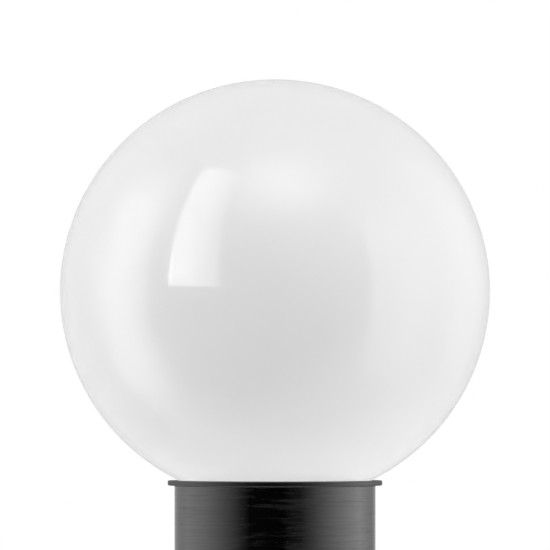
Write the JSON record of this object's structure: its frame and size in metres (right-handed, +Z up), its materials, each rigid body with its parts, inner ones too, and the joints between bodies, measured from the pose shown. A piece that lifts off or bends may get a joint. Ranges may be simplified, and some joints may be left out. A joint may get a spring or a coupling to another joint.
{
  "type": "post-top globe light",
  "caption": "Post-top garden light: an opal glass globe screwed into a short dark brushed collar that slips over a post and is held by grub screws.",
  "frame": {"origin": "centre of the collar's foot, on the post's axis", "axes": "+Z up along the post's axis through the globe; the terminal block lies towards +Y"},
  "size_m": [0.2, 0.2, 0.2865],
  "materials": {
    "opal_glass": "glossy opal",
    "dark_aluminium": "black, circumferentially brushed satin",
    "cast_aluminium": "bare",
    "zinc_steel": "zinc plated",
    "brass": "bare",
    "porcelain": "glazed",
    "gasket_rubber": "matte silicone",
    "black_rubber": "matte",
    "block_nylon": "moulded",
    "brown_insulation": "extruded",
    "blue_insulation": "extruded",
    "nickel": "nickel plated",
    "black_glass": "fused",
    "lamp_white": "moulded",
    "lamp_opal": "frosted"
  },
  "bodies": {
    "collar": {"collar": "dark_aluminium", "earth_screw": "brass", "earth_washer": "zinc_steel", "gear_plate": "zinc_steel", "grommet": "black_rubber", "lampholder_body": "porcelain", "lampholder_contact": "brass", "lampholder_screw_left": "zinc_steel", "lampholder_screw_right": "zinc_steel", "lampholder_shell": "nickel", "lampholder_terminal_left": "brass", "lampholder_terminal_right": "brass", "plate_screw_1": "zinc_steel", "plate_screw_2": "zinc_steel", "plate_screw_3": "zinc_steel", "post_sleeve": "cast_aluminium", "terminal_block": "block_nylon", "terminal_block_screw": "zinc_steel", "terminal_clamp_left": "brass", "terminal_clamp_right": "brass", "terminal_screw_left_far": "zinc_steel", "terminal_screw_left_near": "zinc_steel", "terminal_screw_right_far": "zinc_steel", "terminal_screw_right_near": "zinc_steel", "thread_ring": "cast_aluminium", "wire_live": "brown_insulation", "wire_neutral": "blue_insulation"},
    "gasket": {"globe_gasket": "gasket_rubber"},
    "globe": {"globe_bowl": "opal_glass", "globe_dome": "opal_glass"},
    "lamp_tip": {"lamp_contact": "brass"},
    "lamp": {"lamp_insulator": "black_glass", "lamp_cap": "nickel", "lamp_body": "lamp_white", "lamp_board": "cast_aluminium", "lamp_diffuser": "lamp_opal"},
    "pad_1": {"grub_pad_1": "brass"},
    "grub_1": {"grub_screw_1": "zinc_steel"},
    "pad_2": {"grub_pad_2": "brass"},
    "grub_2": {"grub_screw_2": "zinc_steel"},
    "pad_3": {"grub_pad_3": "brass"},
    "grub_3": {"grub_screw_3": "zinc_steel"}
  },
  "joints": [
    {"name": "globe_rise", "type": "slide", "parent": "collar", "child": "gasket", "axis": [0, 0, 1], "range_m": [0, 0.0101]},
    {"name": "globe_turn", "type": "hinge", "parent": "gasket", "child": "globe", "pos_m": [0, 0, 0.1], "axis": [0, 0, 1], "range_deg": [0, 720]},
    {"name": "lamp_rise", "type": "slide", "parent": "collar", "child": "lamp_tip", "axis": [0, 0, 1], "range_m": [0, 0.011]},
    {"name": "lamp_turn", "type": "hinge", "parent": "lamp_tip", "child": "lamp", "pos_m": [0, 0, 0.0771], "axis": [0, 0, 1], "range_deg": [0, 1080]},
    {"name": "grub_1_drive", "type": "slide", "parent": "collar", "child": "pad_1", "axis": [0, -1, 0], "range_m": [0, 0.0025]},
    {"name": "grub_1_turn", "type": "hinge", "parent": "pad_1", "child": "grub_1", "pos_m": [0, 0.0407, 0.02], "axis": [0, -1, 0], "range_deg": [0, 735]},
    {"name": "grub_2_drive", "type": "slide", "parent": "collar", "child": "pad_2", "axis": [0.866, 0.5, 0], "range_m": [0, 0.0025]},
    {"name": "grub_2_turn", "type": "hinge", "parent": "pad_2", "child": "grub_2", "pos_m": [-0.03525, -0.02035, 0.02], "axis": [0.866, 0.5, 0], "range_deg": [0, 735]},
    {"name": "grub_3_drive", "type": "slide", "parent": "collar", "child": "pad_3", "axis": [-0.866, 0.5, 0], "range_m": [0, 0.0025]},
    {"name": "grub_3_turn", "type": "hinge", "parent": "pad_3", "child": "grub_3", "pos_m": [0.03525, -0.02035, 0.02], "axis": [-0.866, 0.5, 0], "range_deg": [0, 735]}
  ],
  "couplings": [
    {"joint": "globe_rise", "follows": "globe_turn", "m_per_rad": 0.00079577},
    {"joint": "lamp_rise", "follows": "lamp_turn", "m_per_rad": 0.00057757},
    {"joint": "grub_1_turn", "follows": "grub_1_drive", "rad_per_m": 5026.5},
    {"joint": "grub_2_turn", "follows": "grub_2_drive", "rad_per_m": 5026.5},
    {"joint": "grub_3_turn", "follows": "grub_3_drive", "rad_per_m": 5026.5}
  ]
}
